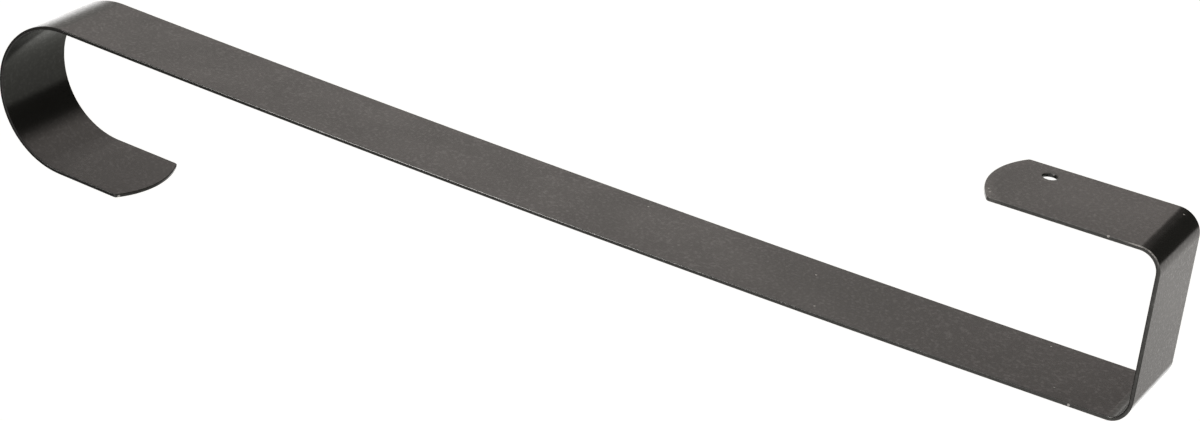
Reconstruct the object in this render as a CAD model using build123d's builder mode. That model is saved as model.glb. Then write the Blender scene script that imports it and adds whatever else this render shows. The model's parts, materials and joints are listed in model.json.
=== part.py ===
from build123d import *
from math import radians
import os

os.makedirs("parts", exist_ok=True)

# Sizes, in millimetres and degrees. The strip is bent in the YZ plane: the back leg is at +Y,
# the long strap at -Y, and the top of the door meets the saddle's underside at the origin.

# Flat strip
strip_width = 28.5
strip_thickness = 0.9
edge_radius = 0.2
corner_radius = 0.4

# Saddle over the door
door_gap = 46.4
back_bend_radius = 5.3
front_bend_radius = 6.0
saddle_bend_turn = 90

# Back leg, from the saddle's underside to the middle of its rounded end
leg_length = 50.0
leg_end_radius = 24.4

# Strap, with the slight bow that springs its lower end against the door
strap_length = 325.0
strap_bow = 2.6

# Hook, with its radii on the inside, where things hang
heel_radius = 20.8
heel_turn = 90
toe_radius = 23.1
toe_turn = 90
tip_length = 25.2
tip_end_radius = 28.3

# Fixing hole in the back leg, from the strip's centreline and from the leg's end
hole_diameter = 4.0
hole_offset = 8.0
hole_height = 12.5

# How far the end cutters stand past the strip
trim_margin = 1.0


def trim_end(end_plane, end_radius):
    """Cut the strip's end to an arc whose middle is the plane's origin, with +Y out of the end."""
    with BuildSketch(end_plane) as cutter:
        with Locations((0, -end_radius)):
            Rectangle(strip_width + 2 * trim_margin, end_radius + trim_margin, align=(Align.CENTER, Align.MIN))
            Circle(end_radius, mode=Mode.SUBTRACT)
    extrude(cutter.sketch, amount=strip_thickness + trim_margin, both=True, mode=Mode.SUBTRACT)


# Strip, one bent piece
with BuildPart() as hook_strip:
    # The path runs along the face that touches the door, from the leg's end to the hook's tip
    with BuildSketch(Plane.YZ):
        with BuildLine():
            leg = Line((door_gap / 2, -leg_length), (door_gap / 2, -back_bend_radius))
            back_bend = JernArc(leg @ 1, leg % 1, back_bend_radius, saddle_bend_turn)
            saddle = Line(back_bend @ 1, (front_bend_radius - door_gap / 2, 0))
            front_bend = JernArc(saddle @ 1, saddle % 1, front_bend_radius, saddle_bend_turn)
            strap = JernArc(front_bend @ 1, front_bend % 1, strap_length / radians(strap_bow), strap_bow)
            heel = JernArc(strap @ 1, strap % 1, heel_radius + strip_thickness, -heel_turn)
            toe = JernArc(heel @ 1, heel % 1, toe_radius + strip_thickness, -toe_turn)
            tip = Line(toe @ 1, toe @ 1 + toe % 1 * tip_length)
            offset(amount=strip_thickness, side=Side.RIGHT)
        make_face()
    extrude(amount=strip_width / 2, both=True)

    # Both ends are cropped to an arc
    leg_end = Plane.YZ.from_local_coords(leg @ 0)
    leg_way = Plane.YZ.from_local_coords(leg % 0)
    tip_end = Plane.YZ.from_local_coords(tip @ 1)
    tip_way = Plane.YZ.from_local_coords(tip % 1)
    trim_end(Plane(leg_end, x_dir=(1, 0, 0), z_dir=leg_way.cross(Vector(1, 0, 0))), leg_end_radius)
    trim_end(Plane(tip_end, x_dir=(1, 0, 0), z_dir=Vector(1, 0, 0).cross(tip_way)), tip_end_radius)

    # The corners and then the whole rim are broken, as tumbled and painted sheet is
    side_faces = hook_strip.faces().filter_by(Axis.X)
    corner_edges = side_faces.edges().filter_by(lambda edge: edge.length < 1.01 * strip_thickness)
    fillet(corner_edges, corner_radius)
    side_faces = hook_strip.faces().filter_by(Axis.X)
    rim_edges = side_faces.edges().filter_by(lambda edge: edge.length > 1.01 * strip_thickness)
    fillet(rim_edges, edge_radius)

    # Fixing hole, off the centreline
    with Locations(Plane((hole_offset, door_gap / 2 + strip_thickness, hole_height - leg_length), z_dir=(0, 1, 0))):
        Hole(hole_diameter / 2, depth=strip_thickness)

hook_strip.part.label = "hook_strip"
export_step(hook_strip.part, "parts/hook_strip.step")
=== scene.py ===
import json
from math import asin, cos, pi, radians, sin, tan

import bmesh
import bpy
from bpy.props import FloatProperty, FloatVectorProperty, PointerProperty
from mathutils import Matrix, Vector


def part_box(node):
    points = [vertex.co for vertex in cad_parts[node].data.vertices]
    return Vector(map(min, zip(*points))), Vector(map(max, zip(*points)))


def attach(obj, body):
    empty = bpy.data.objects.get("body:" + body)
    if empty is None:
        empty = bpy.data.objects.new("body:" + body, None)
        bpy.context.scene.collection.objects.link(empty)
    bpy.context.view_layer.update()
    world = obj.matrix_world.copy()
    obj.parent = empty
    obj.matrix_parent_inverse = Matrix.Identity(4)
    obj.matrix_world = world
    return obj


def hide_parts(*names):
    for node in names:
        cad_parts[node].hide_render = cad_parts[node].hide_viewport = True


bl_info = {
    "name": "Over Door Hook",
    "version": (1, 0, 0),
    "blender": (4, 5, 0),
    "location": "3D View > Sidebar > Over Door Hook",
    "description": "Builds a painted over door hook and the studio round it",
    "category": "Object",
}

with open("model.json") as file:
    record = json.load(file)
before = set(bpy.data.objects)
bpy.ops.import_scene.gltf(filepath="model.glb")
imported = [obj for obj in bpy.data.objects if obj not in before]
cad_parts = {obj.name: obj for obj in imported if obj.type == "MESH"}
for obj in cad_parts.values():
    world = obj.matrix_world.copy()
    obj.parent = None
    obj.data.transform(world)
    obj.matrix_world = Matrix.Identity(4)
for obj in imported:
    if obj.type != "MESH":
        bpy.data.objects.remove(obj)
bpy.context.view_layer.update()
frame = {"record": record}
strip_low, strip_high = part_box("hook_strip")
mounts = {mount["name"]: mount for mount in frame["record"]["mounts"]}
hole_mount = mounts["fixing_hole"]
MM = 0.001
QUARTER_TURN = pi / 2

# The clearest chips in the paint: where they are, and their radius, in millimetres
chips = [
    ((6.0, -22.5, -95.0), 0.28),
    ((-10.5, -22.5, -87.5), 0.28),
    ((11.5, -23.0, -30.0), 0.30),
    ((-9.0, -23.0, -21.0), 0.22),
    ((10.5, -21.5, -148.5), 0.30),
    ((11.0, 24.0, -3.0), 0.28),
    ((-11.0, 24.0, -46.0), 0.32),
    ((-9.5, 24.0, -47.0), 0.28),
    ((-14.0, -23.5, -15.0), 0.50),
    ((-14.3, 24.0, -13.5), 0.35),
    ((-13.5, -62.5, -309.0), 0.50),
]


# Settings

class StripSizes(bpy.types.PropertyGroup):
    """Sizes of the bent strip"""

    width: FloatProperty(
        name="Width", description="Width of the strip",
        default=strip_high.x - strip_low.x, unit="LENGTH")
    thickness: FloatProperty(
        name="Thickness", description="Thickness of the steel sheet",
        default=hole_mount["dims"]["length_mm"] * MM, unit="LENGTH")
    coat: FloatProperty(
        name="Coat", description="Thickness of the powder coat all round the steel",
        default=0.11 * MM, unit="LENGTH", precision=5)
    corner_radius: FloatProperty(
        name="Corner Radius", description="Rounding of the four corners of the cropped ends",
        default=1.0 * MM, unit="LENGTH")
    edge_radius: FloatProperty(
        name="Edge Radius", description="Rounding of the coated rim, front and back",
        default=0.26 * MM, unit="LENGTH", precision=5)
    door_gap: FloatProperty(
        name="Door Gap", description="Inside gap between the strap and the back leg",
        default=46.4 * MM, unit="LENGTH")
    back_bend_radius: FloatProperty(
        name="Back Bend Radius", description="Inside radius of the bend at the back leg",
        default=5.3 * MM, unit="LENGTH")
    front_bend_radius: FloatProperty(
        name="Front Bend Radius", description="Mean inside radius of the bend at the strap",
        default=5.6 * MM, unit="LENGTH")
    front_bend_skew: FloatProperty(
        name="Front Bend Skew",
        description="How much tighter the bend is beside the strap, and wider beside the saddle",
        default=0.2, min=0.0, max=0.9)
    leg_length: FloatProperty(
        name="Leg Length", description="Back leg, from the saddle's underside to its rounded end",
        default=50.05 * MM, unit="LENGTH")
    leg_end_radius: FloatProperty(
        name="Leg End Radius", description="Radius of the arc that crops the back leg",
        default=24.4 * MM, unit="LENGTH")
    leg_end_cant: FloatProperty(
        name="Leg End Cant", description="How far the leg's end is cropped out of square",
        default=0.6 * pi / 180, subtype="ANGLE")
    strap_length: FloatProperty(
        name="Strap Length", description="Length of the strap between the front bend and the hook",
        default=325.4 * MM, unit="LENGTH")
    strap_bow: FloatProperty(
        name="Strap Bow", description="Angle that the strap turns towards the door over its length",
        default=2.6 * pi / 180, subtype="ANGLE")
    heel_radius: FloatProperty(
        name="Heel Radius", description="Inside radius of the hook's half beside the strap",
        default=20.8 * MM, unit="LENGTH")
    toe_radius: FloatProperty(
        name="Toe Radius", description="Inside radius of the hook's half beside the tip",
        default=23.1 * MM, unit="LENGTH")
    tip_length: FloatProperty(
        name="Tip Length", description="Straight end of the hook, to the middle of its rounded end",
        default=25.2 * MM, unit="LENGTH")
    tip_end_radius: FloatProperty(
        name="Tip End Radius", description="Radius of the arc that crops the tip",
        default=28.3 * MM, unit="LENGTH")
    tip_end_cant: FloatProperty(
        name="Tip End Cant", description="How far the tip is cropped out of square",
        default=1.6 * pi / 180, subtype="ANGLE")
    leg_twist: FloatProperty(
        name="Leg Twist", description="Slight twist that bending leaves at the leg's end",
        default=0.2 * pi / 180, subtype="ANGLE")
    saddle_twist: FloatProperty(
        name="Saddle Twist", description="Slight twist of the saddle",
        default=0.5 * pi / 180, subtype="ANGLE")
    heel_twist: FloatProperty(
        name="Heel Twist", description="Slight twist where the hook begins",
        default=0.5 * pi / 180, subtype="ANGLE")
    tip_twist: FloatProperty(
        name="Tip Twist", description="Slight twist at the hook's tip",
        default=0.85 * pi / 180, subtype="ANGLE")


class HoleSizes(bpy.types.PropertyGroup):
    """Sizes of the fixing hole in the back leg"""

    radius: FloatProperty(
        name="Radius", description="Radius of the fixing hole",
        default=hole_mount["dims"]["r_mm"] * MM, unit="LENGTH")
    offset: FloatProperty(
        name="Offset", description="Distance from the strip's centreline to the hole",
        default=hole_mount["pos_m"][0], unit="LENGTH")
    depth: FloatProperty(
        name="Depth", description="Distance from the saddle's underside down to the hole",
        default=-hole_mount["pos_m"][2], unit="LENGTH")
    edge_radius: FloatProperty(
        name="Edge Radius", description="Rounding that the paint leaves at the hole's rim",
        default=0.40 * MM, unit="LENGTH")


class PaintLook(bpy.types.PropertyGroup):
    """Colours and texture of the satin black paint"""

    paint_colour: FloatVectorProperty(
        name="Paint Colour", description="Colour of the powder coat",
        default=(0.0130, 0.0126, 0.0115), subtype="COLOR")
    sheen_tint: FloatVectorProperty(
        name="Sheen Tint", description="Tint of the light that the coat throws back head on",
        default=(1.0, 0.98, 0.95), subtype="COLOR")
    dust_colour: FloatVectorProperty(
        name="Dust Colour", description="Colour of the dust specks on the coat",
        default=(0.20, 0.18, 0.16), subtype="COLOR")
    # Worn coat, and also the painted light on the rim over the door
    worn_and_painted_light_colour: FloatVectorProperty(
        name="Worn and Painted Light Colour", description="Colour of the thin coat on worn patches, and of the painted light on the rim over the door",
        default=(0.12, 0.114, 0.108), subtype="COLOR")
    # Painted shade: a darker rim at the front of the hook
    shaded_rim_colour: FloatVectorProperty(
        name="Shaded Rim Colour", description="Darker colour of the rim at the hook, a painted shade",
        default=(0.004, 0.004, 0.004), subtype="COLOR")
    # Chips, and the painted highlight line on the back bend's rim
    chip_and_highlight_colour: FloatVectorProperty(
        name="Chip and Highlight Colour", description="Colour of the small chips, and of the painted highlight line on the rim",
        default=(0.42, 0.40, 0.38), subtype="COLOR")
    roughness: FloatProperty(
        name="Roughness", description="Roughness of the satin coat",
        default=0.18, min=0.0, max=1.0)
    roughness_spread: FloatProperty(
        name="Roughness Spread", description="How far the roughness wanders from place to place",
        default=0.03, min=0.0, max=0.5)
    shaded_rim_roughness: FloatProperty(
        name="Shaded Rim Roughness", description="Roughness of the rim at the hook, where shade is painted",
        default=0.45, min=0.0, max=1.0)
    grain_size: FloatProperty(
        name="Grain Size", description="Size of the orange peel in the coat",
        default=0.9 * MM, unit="LENGTH")
    grain_depth: FloatProperty(
        name="Grain Depth", description="Depth of the orange peel",
        default=0.003 * MM, unit="LENGTH", precision=6)


class StudioSettings(bpy.types.PropertyGroup):
    """Floor and camera"""

    floor_drop: FloatProperty(
        name="Floor Drop", description="Distance of the floor below the hanging hook",
        default=0.10, unit="LENGTH")
    floor_size: FloatProperty(
        name="Floor Size", description="Half the side of the floor",
        default=12.0, unit="LENGTH")
    floor_colour: FloatVectorProperty(
        name="Floor Colour", description="Colour of the pale floor",
        default=(0.86, 0.85, 0.84), subtype="COLOR")
    camera_place: FloatVectorProperty(
        name="Camera Place", description="Where the camera stands",
        default=(-0.64849, 0.32517, 0.16827), subtype="TRANSLATION", precision=5)
    camera_aim: FloatVectorProperty(
        name="Camera Aim", description="Point that the middle of the picture shows",
        default=(0.0, -0.02206, -0.15780), subtype="TRANSLATION", precision=5)
    camera_roll: FloatProperty(
        name="Camera Roll", description="How far the camera is rolled from upright",
        default=108.890 * pi / 180, subtype="ANGLE")
    camera_lens: FloatProperty(
        name="Camera Lens", description="Focal length in millimetres on a 36 mm sensor",
        default=88.896)


def room_colour(name, description, colour):
    """Setting for one colour of the room, which can be brighter than white."""
    brightest = 25.0
    return FloatVectorProperty(
        name=name, description=description, default=colour, subtype="COLOR", soft_max=brightest)


class RoomColours(bpy.types.PropertyGroup):
    """Colours of the room that lights the hook and shows in its paint"""

    white_wall_foot: room_colour(
        "White Wall Foot", "Foot of the wall beyond the hook", (0.70, 0.68, 0.66))
    white_wall_top: room_colour(
        "White Wall Top", "Top of the wall beyond the hook", (0.86, 0.83, 0.80))
    grey_wall_foot: room_colour(
        "Grey Wall Foot", "Foot of the wall, away from the middle", (0.60, 0.60, 0.57))
    grey_wall_top: room_colour(
        "Grey Wall Top", "Top of the wall, away from the middle", (0.44, 0.445, 0.41))
    table: room_colour(
        "Table", "Warm white table top beyond the hook", (1.11, 1.025, 0.98))
    table_middle: room_colour(
        "Table Middle", "Brighter band across the table", (1.28, 1.184, 1.134))
    table_by_leg: room_colour(
        "Table by Leg", "The table where it shows in the back leg", (1.18, 1.084, 1.038))
    under_table: room_colour(
        "Under Table", "Space below the table", (0.60, 0.58, 0.55))
    doorway: room_colour(
        "Doorway", "Dark doorway between the table and the wall", (0.04, 0.04, 0.035))
    doorway_side: room_colour(
        "Doorway Side", "The doorway, away from the middle", (0.015, 0.015, 0.012))
    camera_side: room_colour(
        "Camera Side", "The camera's side of the room", (0.80, 0.80, 0.79))
    low_side: room_colour(
        "Low Side", "Lower part of the camera's side", (1.35, 1.33, 1.30))
    low_side_foot: room_colour(
        "Low Side Foot", "Foot of the camera's side", (0.20, 0.195, 0.19))
    low_corner: room_colour(
        "Low Corner", "Dark low corner on the strap's side", (0.10, 0.10, 0.10))
    low_screen: room_colour(
        "Low Screen", "Bright screen low beyond the hook", (1.75, 1.73, 1.72))
    side_screen: room_colour(
        "Side Screen", "Bright screen beside the hook", (1.60, 1.59, 1.58))
    window: room_colour(
        "Window", "Window at the camera's left", (1.95, 1.92, 1.90))
    strip_lamp: room_colour(
        "Strip Lamp", "Long low lamp at the camera's left", (22.0, 21.7, 21.4))


# Shape of the strip: a flat blank is cut and punched, its edges are broken, and then it is bent

def blank_spans(sizes):
    """Length and turn of each stretch of the strip, from the leg's end to the tip, on its door side."""
    heel = sizes.heel_radius + sizes.thickness
    toe = sizes.toe_radius + sizes.thickness
    half_turn = QUARTER_TURN / 2
    skew = sizes.front_bend_skew * sizes.front_bend_radius
    shift = skew * tan(half_turn / 2)
    saddle = sizes.door_gap - sizes.back_bend_radius - sizes.front_bend_radius - shift
    return [
        (sizes.leg_length - sizes.back_bend_radius, 0.0),
        (sizes.back_bend_radius * QUARTER_TURN, QUARTER_TURN),
        (saddle, 0.0),
        ((sizes.front_bend_radius + skew) * half_turn, half_turn),
        ((sizes.front_bend_radius - skew) * half_turn, half_turn),
        (sizes.strap_length + shift, sizes.strap_bow),
        (heel * QUARTER_TURN, -QUARTER_TURN),
        (toe * QUARTER_TURN, -QUARTER_TURN),
        (sizes.tip_length, 0.0),
    ]


def cut_places(spans, step, longest):
    """Places along the blank where it is cut into short facets, so that it can follow its bends."""
    places = []
    start = 0.0
    for length, turn in spans:
        facets = max(1, round(abs(turn) / step), round(length / longest) if turn else 1)
        places += [start + length * number / facets for number in range(facets)]
        start += length
    return places[1:]


def spin_arc(blank, start, centre, angle, steps):
    """Spin one vertex into an arc, and return its first and last vertex."""
    first = blank.verts.new(start)
    swept = bmesh.ops.spin(
        blank, geom=[first], cent=centre, axis=(0, 0, 1), angle=angle, steps=steps, use_merge=False)
    last = next(item for item in swept["geom_last"] if isinstance(item, bmesh.types.BMVert))
    return first, last


def half_width(sizes):
    """Half the width of the coated strip."""
    return sizes.width / 2 + sizes.coat


def crop_end(blank, sizes, place, radius, cant, way):
    """Arc of one end, canted about its middle; way is -1 at the leg's end and 1 at the tip."""
    half = half_width(sizes)
    coated = radius + sizes.coat
    centre = Vector((radius * sin(cant), place - way * radius * cos(cant), 0))
    first_angle = asin((half - way * centre.x) / coated)
    last_angle = asin((half + way * centre.x) / coated)
    start = centre + way * coated * Vector((sin(first_angle), cos(first_angle), 0))
    arc_steps = 48
    return spin_arc(blank, start, centre, first_angle + last_angle, arc_steps)


def cut_outline(blank, sizes, total):
    """Outline of the flat blank with both ends cropped to an arc, grown by the coat."""
    leg_first, leg_last = crop_end(blank, sizes, 0, sizes.leg_end_radius, sizes.leg_end_cant, -1)
    tip_first, tip_last = crop_end(blank, sizes, total, sizes.tip_end_radius, sizes.tip_end_cant, 1)
    blank.edges.new((leg_last, tip_first))
    blank.edges.new((tip_last, leg_first))
    bmesh.ops.contextual_create(blank, geom=blank.edges[:])


def cut_across(blank, geometry, place, normal):
    """Cut the given faces along a line through the blank."""
    tolerance = 1e-7
    bmesh.ops.bisect_plane(blank, geom=geometry, dist=tolerance, plane_co=place, plane_no=normal)


def punch_hole(blank, centre, radius):
    """Cut a square round the hole's place, divide its sides, and draw them in to the hole's circle."""
    patch = 2.0 * radius
    cuts = 11
    for side in (-patch, patch):
        everything = blank.verts[:] + blank.edges[:] + blank.faces[:]
        cut_across(blank, everything, centre + Vector((0, side, 0)), (0, 1, 0))
    for side in (-patch, patch):
        faces = [f for f in blank.faces if abs(f.calc_center_median().y - centre.y) < patch / 2]
        edges = {e for f in faces for e in f.edges}
        verts = {v for f in faces for v in f.verts}
        geometry = faces + list(edges) + list(verts)
        cut_across(blank, geometry, centre + Vector((side, 0, 0)), (1, 0, 0))
    square = min(blank.faces, key=lambda f: (f.calc_center_median() - centre).length)
    square_edges = square.edges[:]
    bmesh.ops.delete(blank, geom=[square], context="FACES_ONLY")
    divided = bmesh.ops.subdivide_edges(blank, edges=square_edges, cuts=cuts)
    border = [item for item in divided["geom_split"] if isinstance(item, bmesh.types.BMEdge)]
    ring = bmesh.ops.extrude_edge_only(blank, edges=border)
    for item in ring["geom"]:
        if isinstance(item, bmesh.types.BMVert):
            item.co = centre + radius * (item.co - centre).normalized()


def is_corner(edge, sizes):
    """True for the four short edges at the corners of the blank, where the long sides meet the arcs."""
    tolerance = 1e-6
    least_turn = pi / 8
    along = all(abs(v.co.x) > half_width(sizes) - tolerance for v in edge.verts)
    upright = abs(edge.verts[0].co.z - edge.verts[1].co.z) > sizes.thickness / 2
    return along and upright and edge.calc_face_angle(0.0) > least_turn


def round_corners(blank, sizes):
    """Round the four corners of the blank, seen from its face."""
    for end_radius, keep in ((sizes.leg_end_radius, min), (sizes.tip_end_radius, max)):
        corners = [e for e in blank.edges if is_corner(e, sizes)]
        end = keep(e.verts[0].co.y for e in corners)
        corners = [e for e in corners if abs(e.verts[0].co.y - end) < sizes.width / 4]
        turn = QUARTER_TURN - asin(half_width(sizes) / end_radius)
        bmesh.ops.bevel(
            blank, geom=corners, offset=sizes.corner_radius * tan(turn / 2), offset_type="OFFSET",
            segments=4, profile=0.5, affect="EDGES", clamp_overlap=False, material=-1)


def break_edges(blank, edges, radius):
    """Round the given edges, and return the new faces."""
    made = bmesh.ops.bevel(
        blank, geom=edges, offset=radius, offset_type="OFFSET", segments=3, profile=0.5,
        affect="EDGES", clamp_overlap=False, material=-1)
    return made["faces"]


def mark_rim(blank, faces, sizes):
    """Mark faces as the strip's rim, where its paint wears and where light and shade are painted, and those
    on its outer side as outer rim.
    """
    rim = blank.faces.layers.float["rim"]
    outer_rim = blank.faces.layers.float["outer_rim"]
    for face in faces:
        face[rim] = 1.0
        face[outer_rim] = float(face.calc_center_median().z < -sizes.thickness / 2)


def face_edges(blank):
    """Edges where the strip's broad faces meet its walls."""
    def is_broad(face):
        return abs(face.normal.z) > 0.5
    return [e for e in blank.edges if len({is_broad(f) for f in e.link_faces}) == 2]


def twist_places(sizes, spans):
    """Places along the blank and the strip's slight twist there; the middle of the strap is square."""
    leg = spans[0][0]
    strap = sum(length for length, turn in spans[:5])
    heel = strap + spans[5][0]
    total = sum(length for length, turn in spans)
    return [
        (0.0, sizes.leg_twist),
        (leg, sizes.saddle_twist),
        (strap, sizes.saddle_twist),
        ((strap + heel) / 2, 0.0),
        (heel, sizes.heel_twist),
        (total, sizes.tip_twist),
    ]


def twist_vertex(flat, places):
    """Turn a point of the flat blank about its middle line, by the twist at its place."""
    for (start, start_twist), (end, end_twist) in zip(places, places[1:]):
        if flat.y <= end:
            break
    share = max(0.0, flat.y - start) / (end - start)
    twist = start_twist + (end_twist - start_twist) * share
    return Vector((
        flat.x * cos(twist) + flat.z * sin(twist), flat.y, flat.z * cos(twist) - flat.x * sin(twist)))


def bend_vertex(flat, spans, start, heading):
    """Where a point of the flat blank goes when the strip is bent."""
    place = Vector(start)
    left = flat.y
    for number, (length, turn) in enumerate(spans):
        last = number == len(spans) - 1
        run = left if last else min(left, length)
        if turn:
            turned = heading + turn * run / length
            curve = length / turn
            place += curve * Vector((sin(turned) - sin(heading), cos(heading) - cos(turned)))
            heading = turned
        else:
            place += run * Vector((cos(heading), sin(heading)))
        left -= run
        if left <= 0:
            break
    return Vector((flat.x, place.x - flat.z * sin(heading), place.y + flat.z * cos(heading)))


def make_strip(sizes, hole):
    """The whole strip as one closed mesh, bent to shape."""
    spans = blank_spans(sizes)
    total = sum(length for length, turn in spans)
    blank = bmesh.new()
    blank.faces.layers.float.new("rim")
    blank.faces.layers.float.new("outer_rim")
    cut_outline(blank, sizes, total)
    facet_turn = 2.5 * pi / 180
    longest_facet = 12 * MM
    for place in cut_places(spans, facet_turn, longest_facet):
        everything = blank.verts[:] + blank.edges[:] + blank.faces[:]
        cut_across(blank, everything, (0, place, 0), (0, 1, 0))
    hole_centre = Vector((hole.offset, sizes.leg_length - hole.depth, 0))
    hole_coat = 1.5 * sizes.coat
    hole_reach = 1.5 * hole.radius
    punch_hole(blank, hole_centre, hole.radius - hole_coat)
    sheet = bmesh.ops.extrude_face_region(blank, geom=blank.faces[:])
    outer = [item for item in sheet["geom"] if isinstance(item, bmesh.types.BMVert)]
    bmesh.ops.translate(blank, verts=outer, vec=(0, 0, -sizes.thickness - 2 * sizes.coat))
    bmesh.ops.translate(blank, verts=blank.verts[:], vec=(0, 0, sizes.coat))
    bmesh.ops.recalc_face_normals(blank, faces=blank.faces[:])
    round_corners(blank, sizes)
    edges = face_edges(blank)
    hole_edges = [e for e in edges if (e.verts[0].co - hole_centre).length < hole_reach]
    rim_edges = [e for e in edges if e not in hole_edges]
    mark_rim(blank, break_edges(blank, rim_edges, sizes.edge_radius), sizes)
    hole_edges = [e for e in hole_edges if e.is_valid]
    break_edges(blank, hole_edges, hole.edge_radius)
    leg_end = (sizes.door_gap / 2, -sizes.leg_length)
    places = twist_places(sizes, spans)
    for vertex in blank.verts:
        vertex.co = bend_vertex(twist_vertex(vertex.co, places), spans, leg_end, QUARTER_TURN)
    mesh = bpy.data.meshes.new("hook_strip_painted")
    blank.to_mesh(mesh)
    blank.free()
    mesh.shade_smooth()
    return mesh


# Paint

def new_group(name, inputs, outputs):
    """An empty shader node group with its sockets, and its input and output nodes."""
    group = bpy.data.node_groups.new(name, "ShaderNodeTree")
    for label, kind, value in inputs:
        socket = group.interface.new_socket(label, in_out="INPUT", socket_type=kind)
        if value is not None:
            socket.default_value = value
    for label, kind in outputs:
        group.interface.new_socket(label, in_out="OUTPUT", socket_type=kind)
    return group, group.nodes.new("NodeGroupInput"), group.nodes.new("NodeGroupOutput")


def feed(tree, socket, value):
    """Link an output into a socket, or set the socket's own value; None leaves it as it is."""
    if isinstance(value, bpy.types.NodeSocket):
        tree.links.new(value, socket)
    elif value is not None:
        socket.default_value = value


def add_math(tree, operation, first, second=None):
    """A Math node fed by sockets or plain numbers, returned as its output."""
    node = tree.nodes.new("ShaderNodeMath")
    node.operation = operation
    feed(tree, node.inputs[0], first)
    feed(tree, node.inputs[1], second)
    return node.outputs[0]


def add_product(tree, *factors):
    """Masks multiplied together, in their order."""
    product = factors[0]
    for factor in factors[1:]:
        product = add_math(tree, "MULTIPLY", product, factor)
    return product


def add_vector_math(tree, operation, output, first, second=None):
    """A Vector Math node, returned as its output of the given name."""
    node = tree.nodes.new("ShaderNodeVectorMath")
    node.operation = operation
    feed(tree, node.inputs[0], first)
    feed(tree, node.inputs[1], second)
    return node.outputs[output]


def split_vector(tree, vector):
    """A Separate XYZ node, returned as its three outputs."""
    node = tree.nodes.new("ShaderNodeSeparateXYZ")
    feed(tree, node.inputs["Vector"], vector)
    return node.outputs["X"], node.outputs["Y"], node.outputs["Z"]


def add_attribute(tree, name):
    """The mesh's own attribute of the given name, as a number."""
    node = tree.nodes.new("ShaderNodeAttribute")
    node.attribute_name = name
    return node.outputs["Fac"]


def add_range(tree, value, low, high, to_low=0.0, to_high=1.0, smooth=True):
    """A Map Range node, smooth unless told otherwise, returned as its output."""
    node = tree.nodes.new("ShaderNodeMapRange")
    node.interpolation_type = "SMOOTHSTEP" if smooth else "LINEAR"
    names = ("Value", "From Min", "From Max", "To Min", "To Max")
    for name, number in zip(names, (value, low, high, to_low, to_high)):
        feed(tree, node.inputs[name], number)
    return node.outputs["Result"]


def add_noise(tree, vector, scale, detail, roughness=0.5):
    """A Noise Texture node, returned as its Fac output."""
    node = tree.nodes.new("ShaderNodeTexNoise")
    names = ("Vector", "Scale", "Detail", "Roughness")
    for name, value in zip(names, (vector, scale, detail, roughness)):
        feed(tree, node.inputs[name], value)
    return node.outputs["Fac"]


def add_mix(tree, factor, first, second):
    """A colour Mix node, returned as its Result output."""
    node = tree.nodes.new("ShaderNodeMix")
    node.data_type = "RGBA"
    feed(tree, node.inputs["Factor"], factor)
    colours = [socket for socket in node.inputs if socket.type == "RGBA"]
    for socket, colour in zip(colours, (first, second)):
        plain = not isinstance(colour, bpy.types.NodeSocket)
        feed(tree, socket, (*colour, 1.0) if plain else colour)
    return next(socket for socket in node.outputs if socket.type == "RGBA")


def add_shade(tree, mask, colour):
    """A colour darkened to black by a mask."""
    return add_mix(tree, mask, colour, (0.0, 0.0, 0.0))


def coat_grain_group():
    """Orange peel and slow mottling of a powder coat."""
    inputs = [("Vector", "NodeSocketVector", None), ("Size", "NodeSocketFloat", 0.001)]
    group, given, result = new_group(
        "coat_grain", inputs, [("Height", "NodeSocketFloat"), ("Mottle", "NodeSocketFloat")])
    fine = add_math(group, "DIVIDE", 1.0, given.outputs["Size"])
    broad = add_math(group, "MULTIPLY", fine, 0.05)
    peel = add_noise(group, given.outputs["Vector"], fine, 2.0)
    mottle = add_noise(group, given.outputs["Vector"], broad, 3.0)
    group.links.new(peel, result.inputs["Height"])
    group.links.new(mottle, result.inputs["Mottle"])
    return group


def dust_group():
    """Scattered small specks: most cells of the pattern stay empty."""
    inputs = [
        ("Vector", "NodeSocketVector", None), ("Spacing", "NodeSocketFloat", 0.005),
        ("Size", "NodeSocketFloat", 0.05), ("Share", "NodeSocketFloat", 0.1)]
    group, given, result = new_group("dust_specks", inputs, [("Mask", "NodeSocketFloat")])
    cells = group.nodes.new("ShaderNodeTexVoronoi")
    group.links.new(given.outputs["Vector"], cells.inputs["Vector"])
    group.links.new(add_math(group, "DIVIDE", 1.0, given.outputs["Spacing"]), cells.inputs["Scale"])
    split = group.nodes.new("ShaderNodeSeparateColor")
    group.links.new(cells.outputs["Color"], split.inputs["Color"])
    chosen = add_math(group, "LESS_THAN", split.outputs["Red"], given.outputs["Share"])
    reach = add_math(group, "MULTIPLY", split.outputs["Green"], given.outputs["Size"])
    inside = add_math(group, "LESS_THAN", cells.outputs["Distance"], reach)
    group.links.new(add_product(group, chosen, inside), result.inputs["Mask"])
    return group


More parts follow.
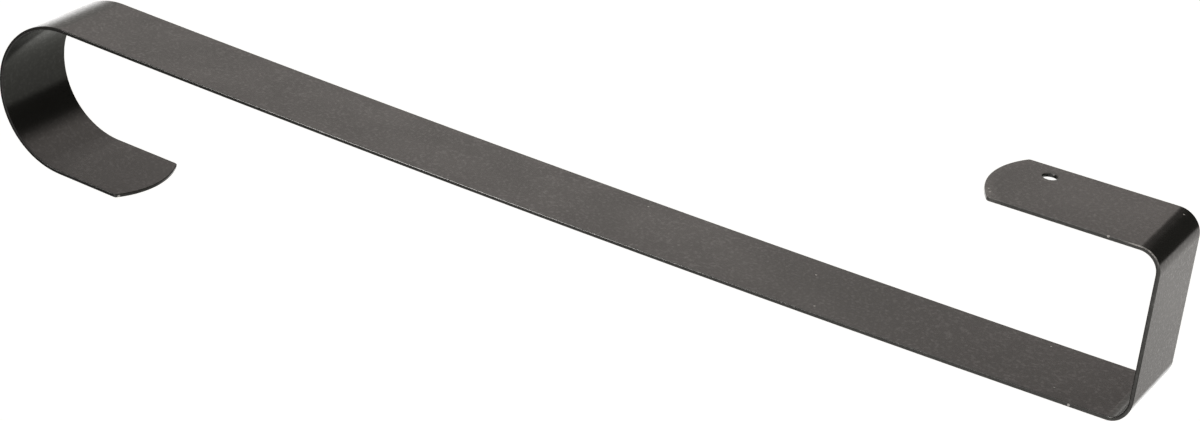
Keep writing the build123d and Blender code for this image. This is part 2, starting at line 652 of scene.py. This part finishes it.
def rim_wear_and_light_group():
    """Wear of the faces marked as rim, and light and shade painted on them.

    The coat is thin in patches. Over the door the rim is painted lighter, a painted reflection that
    grows towards the back leg. At the front of the hook the rim is painted darker, a painted shade,
    and is rougher; on one side of the back bend it has a painted highlight line.
    """
    inputs = [
        ("Vector", "NodeSocketVector", None), ("Spacing", "NodeSocketFloat", 0.004),
        ("Rubbed", "NodeSocketFloat", 0.3), ("Rubbed Half Length", "NodeSocketFloat", 0.02)]
    outputs = [("Mask", "NodeSocketFloat"), ("Shaded Rim", "NodeSocketFloat"), ("Painted Highlight", "NodeSocketFloat")]
    group, given, result = new_group("rim_wear_and_light", inputs, outputs)
    place = given.outputs["Vector"]
    x, y, z = split_vector(group, place)
    rim = add_attribute(group, "rim")

    # Thin patches, and painted light on the rim over the door, stronger towards the back leg
    scale = add_math(group, "DIVIDE", 1.0, given.outputs["Spacing"])
    patches = add_range(group, add_noise(group, place, scale, 4.0, 0.65), 0.60, 0.72)
    half_length = given.outputs["Rubbed Half Length"]
    before = add_math(group, "MULTIPLY", half_length, -1.0)
    # Painted light: the rim is lightened over the door
    painted_rim_light = add_range(group, y, before, half_length, 0.0, given.outputs["Rubbed"])
    mask = add_product(group, add_math(group, "MAXIMUM", patches, painted_rim_light), rim)
    group.links.new(mask, result.inputs["Mask"])

    # Rim at the front of the hook: painted shade darkens it, and it is rougher
    hook_front = add_range(group, y, -40 * MM, -50 * MM)
    group.links.new(add_product(group, hook_front, rim), result.inputs["Shaded Rim"])

    # Painted highlight line round the back bend, broken into specks
    past_saddle = add_range(group, y, 19 * MM, 24 * MM)
    above_leg = add_range(group, z, -11 * MM, -5 * MM)
    one_side = add_math(group, "LESS_THAN", x, 0.0)
    specks_per_metre = 1500.0
    specks = add_range(group, add_noise(group, place, specks_per_metre, 3.0, 0.6), 0.40, 0.55, 0.3, 1.0)
    outer_rim = add_attribute(group, "outer_rim")
    painted_highlight = add_product(group, past_saddle, above_leg, specks, one_side, outer_rim)
    group.links.new(painted_highlight, result.inputs["Painted Highlight"])
    return group


def end_wear_group():
    """Coat worn thin in a border along the lower half of an arc, patchy, and stronger towards one corner."""
    inputs = [
        ("Vector", "NodeSocketVector", None), ("Centre", "NodeSocketVector", None),
        ("Radius", "NodeSocketFloat", 0.02), ("Border", "NodeSocketFloat", 0.002),
        ("Spacing", "NodeSocketFloat", 0.001), ("Corner", "NodeSocketFloat", -0.01)]
    group, given, result = new_group("end_wear", inputs, [("Mask", "NodeSocketFloat")])
    place = given.outputs["Vector"]
    apart = add_vector_math(group, "SUBTRACT", "Vector", place, given.outputs["Centre"])
    distance = add_vector_math(group, "LENGTH", "Value", apart)
    x, _, z = split_vector(group, apart)
    inner = add_math(group, "SUBTRACT", given.outputs["Radius"], given.outputs["Border"])
    outer = add_math(group, "ADD", given.outputs["Radius"], given.outputs["Border"])
    border = add_range(group, distance, inner, given.outputs["Radius"])
    within = add_math(group, "LESS_THAN", distance, outer)
    lower_half = add_math(group, "LESS_THAN", z, 0.0)
    scale = add_math(group, "DIVIDE", 1.0, given.outputs["Spacing"])
    patches = add_range(group, add_noise(group, place, scale, 3.0, 0.6), 0.36, 0.60, 0.35, 1.0)
    corner = add_range(group, x, 0.0, given.outputs["Corner"], 0.25, 1.0)
    mask = add_product(group, border, within, lower_half, patches, corner)
    group.links.new(mask, result.inputs["Mask"])
    return group


def chip_group():
    """One small round chip at a place."""
    inputs = [
        ("Vector", "NodeSocketVector", None), ("Place", "NodeSocketVector", None),
        ("Size", "NodeSocketFloat", 0.0003)]
    group, given, result = new_group("paint_chip", inputs, [("Mask", "NodeSocketFloat")])
    apart = add_vector_math(group, "DISTANCE", "Value", given.outputs["Vector"], given.outputs["Place"])
    mask = add_math(group, "LESS_THAN", apart, given.outputs["Size"])
    group.links.new(mask, result.inputs["Mask"])
    return group


def place_group(tree, group, vector, **values):
    """Put a node group in a material, fed with the object's coordinates and with plain values."""
    node = tree.nodes.new("ShaderNodeGroup")
    node.node_tree = group
    tree.links.new(vector, node.inputs["Vector"])
    for name, value in values.items():
        node.inputs[name.replace("_", " ")].default_value = value
    return node


def black_paint(look, sizes):
    """Satin black powder coat, with dust, wear and chips, and light and shade painted on its rim."""
    material = bpy.data.materials.new("black_paint")
    material.use_nodes = True
    tree = material.node_tree
    shader = tree.nodes["Principled BSDF"]
    place = tree.nodes.new("ShaderNodeTexCoord").outputs["Object"]
    grain = place_group(tree, coat_grain_group(), place, Size=look.grain_size)
    dust = place_group(tree, dust_group(), place, Spacing=4 * MM, Size=0.05, Share=0.06)
    rim_marks = place_group(
        tree, rim_wear_and_light_group(), place, Spacing=6 * MM, Rubbed=0.3, Rubbed_Half_Length=20 * MM)
    end_centre = (0.0, sizes.door_gap / 2 + sizes.thickness, sizes.leg_end_radius - sizes.leg_length)
    end_wear = place_group(
        tree, end_wear_group(), place, Centre=end_centre, Radius=sizes.leg_end_radius, Border=3.5 * MM,
        Spacing=0.8 * MM, Corner=-12 * MM)
    dusty = add_mix(tree, dust.outputs["Mask"], look.paint_colour, look.dust_colour)
    # Worn patches on the rim, with painted light on the rim over the door
    worn_and_painted_light = add_mix(tree, rim_marks.outputs["Mask"], dusty, look.worn_and_painted_light_colour)
    worn_and_painted_light = add_mix(tree, end_wear.outputs["Mask"], worn_and_painted_light, look.worn_and_painted_light_colour)
    # Painted shade on the rim at the front of the hook
    worn_and_painted_light = add_mix(tree, rim_marks.outputs["Shaded Rim"], worn_and_painted_light, look.shaded_rim_colour)
    # Painted highlight: a bright line on the back bend's rim
    worn_and_painted_light = add_mix(tree, rim_marks.outputs["Painted Highlight"], worn_and_painted_light, look.chip_and_highlight_colour)
    chip = chip_group()
    for chip_place, chip_size in chips:
        spot = place_group(tree, chip, place, Place=Vector(chip_place) * MM, Size=chip_size * MM)
        worn_and_painted_light = add_mix(tree, spot.outputs["Mask"], worn_and_painted_light, look.chip_and_highlight_colour)
    tree.links.new(worn_and_painted_light, shader.inputs["Base Color"])
    low = look.roughness - look.roughness_spread
    high = look.roughness + look.roughness_spread
    rough = add_range(tree, grain.outputs["Mottle"], 0.3, 0.7, low, high)
    shaded_rim = add_math(tree, "MULTIPLY", rim_marks.outputs["Shaded Rim"], look.shaded_rim_roughness)
    rough = add_math(tree, "MAXIMUM", rough, shaded_rim)
    tree.links.new(rough, shader.inputs["Roughness"])
    strongest_glint = 0.60
    glint = add_range(tree, grain.outputs["Height"], 0.50, 0.80, 0.0, strongest_glint, smooth=False)
    tree.links.new(glint, shader.inputs["Coat Weight"])
    shader.inputs["Coat Roughness"].default_value = look.roughness
    bump = tree.nodes.new("ShaderNodeBump")
    bump.inputs["Distance"].default_value = look.grain_depth
    tree.links.new(grain.outputs["Height"], bump.inputs["Height"])
    tree.links.new(bump.outputs["Normal"], shader.inputs["Normal"])
    shader.inputs["Specular Tint"].default_value = (*look.sheen_tint, 1.0)
    return material


# Stage

def pale_floor(studio):
    """Pale floor, lifted to white for the camera and clear to gloss, which shows the room instead."""
    material = bpy.data.materials.new("pale_floor")
    material.use_nodes = True
    tree = material.node_tree
    shader = tree.nodes["Principled BSDF"]
    shader.inputs["Base Color"].default_value = (*studio.floor_colour, 1.0)
    shader.inputs["Roughness"].default_value = 0.9
    shader.inputs["Specular IOR Level"].default_value = 0.0
    path = tree.nodes.new("ShaderNodeLightPath")
    glow = 0.52
    lift = add_math(tree, "MULTIPLY", path.outputs["Is Camera Ray"], glow)
    shader.inputs["Emission Color"].default_value = (1, 1, 1, 1)
    tree.links.new(lift, shader.inputs["Emission Strength"])
    solid = add_math(tree, "SUBTRACT", 1.0, path.outputs["Is Glossy Ray"])
    tree.links.new(solid, shader.inputs["Alpha"])
    return material


def make_floor(studio):
    """A wide flat floor below the hanging hook."""
    plane = bmesh.new()
    below = Matrix.Translation((0, 0, strip_low.z - studio.floor_drop))
    bmesh.ops.create_grid(plane, x_segments=1, y_segments=1, size=studio.floor_size, matrix=below)
    mesh = bpy.data.meshes.new("floor")
    plane.to_mesh(mesh)
    plane.free()
    mesh.materials.append(pale_floor(studio))
    return mesh


def add_dot(tree, vector, axis):
    """How far a direction points along an axis."""
    return add_vector_math(tree, "DOT_PRODUCT", "Value", vector, Vector(axis).normalized())


def add_patch(tree, direction, axis, edge, core):
    """Mask of a soft round patch of the room, whose edge and core are angles from its axis."""
    along = add_dot(tree, direction, axis)
    return add_range(tree, along, cos(radians(edge)), cos(radians(core)))


def room_wall(tree, colours, axes, greyer):
    """Wall beyond the hook, which greys away from the middle and has a dark upper corner."""
    ahead, beside, upward = axes
    rising = add_range(tree, upward, -0.10, 0.32)
    white_wall = add_mix(tree, rising, colours.white_wall_foot, colours.white_wall_top)
    grey_wall = add_mix(tree, rising, colours.grey_wall_foot, colours.grey_wall_top)
    wall = add_mix(tree, greyer, white_wall, grey_wall)
    corner_side = add_range(tree, beside, -0.42, -0.47, 0.0, 0.25)
    corner_foot = add_range(tree, upward, 0.08, 0.20)
    corner_depth = add_range(tree, ahead, 0.76, 0.83)
    return add_shade(tree, add_product(tree, corner_side, corner_foot, corner_depth), wall)


def room_table(tree, colours, axes):
    """Table top beyond the hook, brightest across its middle and shaded towards its sides and foot."""
    ahead, beside, upward = axes
    middle = add_product(tree, add_range(tree, upward, -0.26, -0.31), add_range(tree, upward, -0.48, -0.42))
    table = add_mix(tree, middle, colours.table, colours.table_middle)
    by_leg = add_product(tree, add_range(tree, beside, 0.44, 0.42), add_range(tree, ahead, 0.82, 0.86))
    table = add_mix(tree, by_leg, table, colours.table_by_leg)

    # It is shaded at its left, and more so at its far end
    left_side = add_range(tree, beside, 0.445, 0.49)
    left_depth = add_range(tree, upward, 0.05, -0.50, 0.08, 0.44, smooth=False)
    table = add_shade(tree, add_product(tree, left_side, left_depth), table)
    far_end = add_range(tree, ahead, 0.822, 0.865, 0.0, 0.95)
    far_side = add_range(tree, beside, 0.42, 0.46)
    table = add_shade(tree, add_product(tree, far_end, far_side), table)

    # Beyond its edge is the space below it
    table_bottom = add_range(tree, upward, -0.26, -0.32)
    under_from = add_range(tree, ahead, 0.83, 0.855, 0.42, 0.50)
    under_to = add_range(tree, ahead, 0.83, 0.855, 0.36, 0.42)
    under_side = add_range(tree, beside, under_from, under_to)
    table = add_mix(tree, add_product(tree, table_bottom, under_side), table, colours.under_table)
    low_side = add_range(tree, beside, 0.0, 0.15, 0.0, 0.12)
    low_shade = add_product(tree, low_side, add_range(tree, upward, -0.29, -0.35))
    return add_shade(tree, add_product(tree, far_end, low_shade), table)


def room_beyond(tree, colours, direction, axes):
    """The room beyond the hook: a table top, a wall above it, and a dark doorway between them."""
    ahead, _, upward = axes
    greyer = add_range(tree, ahead, 0.83, 0.76)
    wall = room_wall(tree, colours, axes, greyer)
    table = room_table(tree, colours, axes)
    table_edge = add_dot(tree, direction, (0.444, -0.733, 0.515))
    wall_edge = add_dot(tree, direction, (-0.297, -0.867, 0.400))
    before_edge = add_range(tree, ahead, 0.72, 0.88, -0.14, -0.020)
    after_edge = add_range(tree, ahead, 0.72, 0.88, 0.17, 0.040)
    past_table = add_range(tree, table_edge, before_edge, after_edge)
    past_wall = add_range(tree, wall_edge, -0.04, 0.03)
    doorway = add_mix(tree, greyer, colours.doorway, colours.doorway_side)
    above = add_range(tree, upward, -0.32, -0.12)
    beyond = add_mix(tree, add_product(tree, past_table, above), table, doorway)
    return add_mix(tree, past_wall, beyond, wall)


def room_by_camera(tree, colours, axes):
    """The camera's side of the room, which darkens towards its floor and has a dark gap."""
    _, beside, upward = axes
    low_side = add_mix(
        tree, add_range(tree, upward, -0.17, -0.64), colours.low_side, colours.low_side_foot)
    low = add_product(tree, add_range(tree, beside, 0.15, -0.10), add_range(tree, upward, 0.25, 0.0))
    under_lamp = add_product(
        tree, add_range(tree, upward, -0.53, -0.565), add_range(tree, beside, 0.80, 0.60))
    lowest = add_math(tree, "MAXIMUM", low, under_lamp)
    by_camera = add_mix(tree, lowest, colours.camera_side, low_side)
    gap_sides = add_product(
        tree, add_range(tree, beside, -0.35, -0.20, 0.0, 0.5), add_range(tree, beside, 0.15, 0.0))
    gap_ends = add_product(
        tree, add_range(tree, upward, -0.42, -0.36), add_range(tree, upward, -0.05, -0.15))
    return add_shade(tree, add_product(tree, gap_sides, gap_ends), by_camera)


def add_screens(tree, colours, direction, ahead, room):
    """Two bright screens, one low beyond the hook and one beside it."""
    low_screen = add_patch(tree, direction, (0.73, -0.21, -0.65), 25, 2)
    low_screen = add_product(tree, low_screen, add_range(tree, ahead, 0.88, 0.80))
    room = add_mix(tree, low_screen, room, colours.low_screen)
    side_screen = add_patch(tree, direction, (0.86, -0.505, -0.05), 14, 3)
    return add_mix(tree, side_screen, room, colours.side_screen)


def add_window_and_lamp(tree, colours, axes, room):
    """A window at the camera's left, and a long strip lamp that draws the bright line on the strap's rim."""
    ahead, beside, upward = axes
    window_left = add_range(tree, beside, 0.0, 0.25)
    window_height = add_product(
        tree, add_range(tree, upward, -0.48, -0.40), add_range(tree, upward, 0.0, -0.15))
    window = add_product(tree, window_left, window_height, add_range(tree, ahead, 0.65, 0.45))
    room = add_mix(tree, window, room, colours.window)
    lamp_height = add_product(
        tree, add_range(tree, upward, -0.385, -0.415), add_range(tree, upward, -0.480, -0.450))
    lamp_length = add_product(
        tree, add_range(tree, beside, -0.05, 0.05), add_range(tree, ahead, -0.20, -0.40))
    return add_mix(tree, add_product(tree, lamp_height, lamp_length), room, colours.strip_lamp)


def make_room(colours):
    """A plain white room, worked out from what the paint reflects, which the camera itself sees as white."""
    world = bpy.data.worlds.new("studio_room")
    bpy.context.scene.world = world
    world.use_nodes = True
    tree = world.node_tree
    direction = tree.nodes.new("ShaderNodeTexCoord").outputs["Generated"]
    axes = [add_dot(tree, direction, axis) for axis in ((1, 0, 0), (0, 1, 0), (0, 0, 1))]
    ahead, beside, upward = axes
    beyond = room_beyond(tree, colours, direction, axes)
    by_camera = room_by_camera(tree, colours, axes)
    room = add_mix(tree, add_range(tree, ahead, -0.3, 0.3), by_camera, beyond)
    low_corner = add_product(
        tree, add_range(tree, upward, -0.50, -0.54), add_range(tree, beside, -0.30, -0.45))
    room = add_mix(tree, low_corner, room, colours.low_corner)
    room = add_screens(tree, colours, direction, ahead, room)
    room = add_window_and_lamp(tree, colours, axes, room)
    path = tree.nodes.new("ShaderNodeLightPath")
    seen = add_mix(tree, path.outputs["Is Camera Ray"], room, (1.0, 1.0, 1.0))
    background = tree.nodes["Background"]
    tree.links.new(seen, background.inputs["Color"])
    background.inputs["Strength"].default_value = 1.0


def make_camera(studio):
    """Camera that sees the hook lying across the picture."""
    camera = bpy.data.cameras.new("camera")
    camera.sensor_width = 36.0
    camera.lens = studio.camera_lens
    camera.clip_start = 0.01
    camera.clip_end = 100.0
    holder = bpy.data.objects.new("camera", camera)
    place = Vector(studio.camera_place)
    upright = (Vector(studio.camera_aim) - place).to_track_quat("-Z", "Y").to_matrix().to_4x4()
    rolled = upright @ Matrix.Rotation(studio.camera_roll, 4, "Z")
    holder.matrix_world = Matrix.Translation(place) @ rolled
    bpy.context.scene.collection.objects.link(holder)
    bpy.context.scene.camera = holder


# Operators and panel

class HOOK_OT_strip(bpy.types.Operator):
    """Build the bent and painted strip in place of its plain solid"""

    bl_idname = "hook.strip"
    bl_label = "Painted Strip"

    def execute(self, context):
        scene = context.scene
        mesh = make_strip(scene.hook_sizes, scene.hook_hole)
        mesh.materials.append(black_paint(scene.hook_paint, scene.hook_sizes))
        piece = bpy.data.objects.new("hook_strip_painted", mesh)
        scene.collection.objects.link(piece)
        flat_faces = piece.modifiers.new("flat_faces", "WEIGHTED_NORMAL")
        flat_faces.weight = 100
        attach(piece, "root")
        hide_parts("hook_strip")
        return {"FINISHED"}


class HOOK_OT_stage(bpy.types.Operator):
    """Build the floor, the room and the camera"""

    bl_idname = "hook.stage"
    bl_label = "Studio"

    def execute(self, context):
        scene = context.scene
        studio = scene.hook_studio
        floor = bpy.data.objects.new("floor", make_floor(studio))
        scene.collection.objects.link(floor)
        make_room(scene.hook_room)
        make_camera(studio)
        scene.view_settings.view_transform = "Standard"
        return {"FINISHED"}


class HOOK_PT_panel(bpy.types.Panel):
    """Sizes, paint, studio and room of the over door hook"""

    bl_idname = "HOOK_PT_panel"
    bl_label = "Over Door Hook"
    bl_space_type = "VIEW_3D"
    bl_region_type = "UI"
    bl_category = "Over Door Hook"

    def draw(self, context):
        for group_name in settings_groups:
            settings = getattr(context.scene, group_name)
            box = self.layout.box()
            for name in settings.__annotations__:
                box.prop(settings, name)
        self.layout.operator("hook.strip")
        self.layout.operator("hook.stage")


settings_groups = {
    "hook_sizes": StripSizes,
    "hook_hole": HoleSizes,
    "hook_paint": PaintLook,
    "hook_studio": StudioSettings,
    "hook_room": RoomColours,
}
classes = (*settings_groups.values(), HOOK_OT_strip, HOOK_OT_stage, HOOK_PT_panel)


def register():
    for cls in classes:
        bpy.utils.register_class(cls)
    for name, group in settings_groups.items():
        setattr(bpy.types.Scene, name, PointerProperty(type=group))


def unregister():
    for name in settings_groups:
        delattr(bpy.types.Scene, name)
    for cls in reversed(classes):
        bpy.utils.unregister_class(cls)


def main():
    register()
    bpy.ops.hook.strip()
    bpy.ops.hook.stage()


if __name__ == "__main__":
    main()
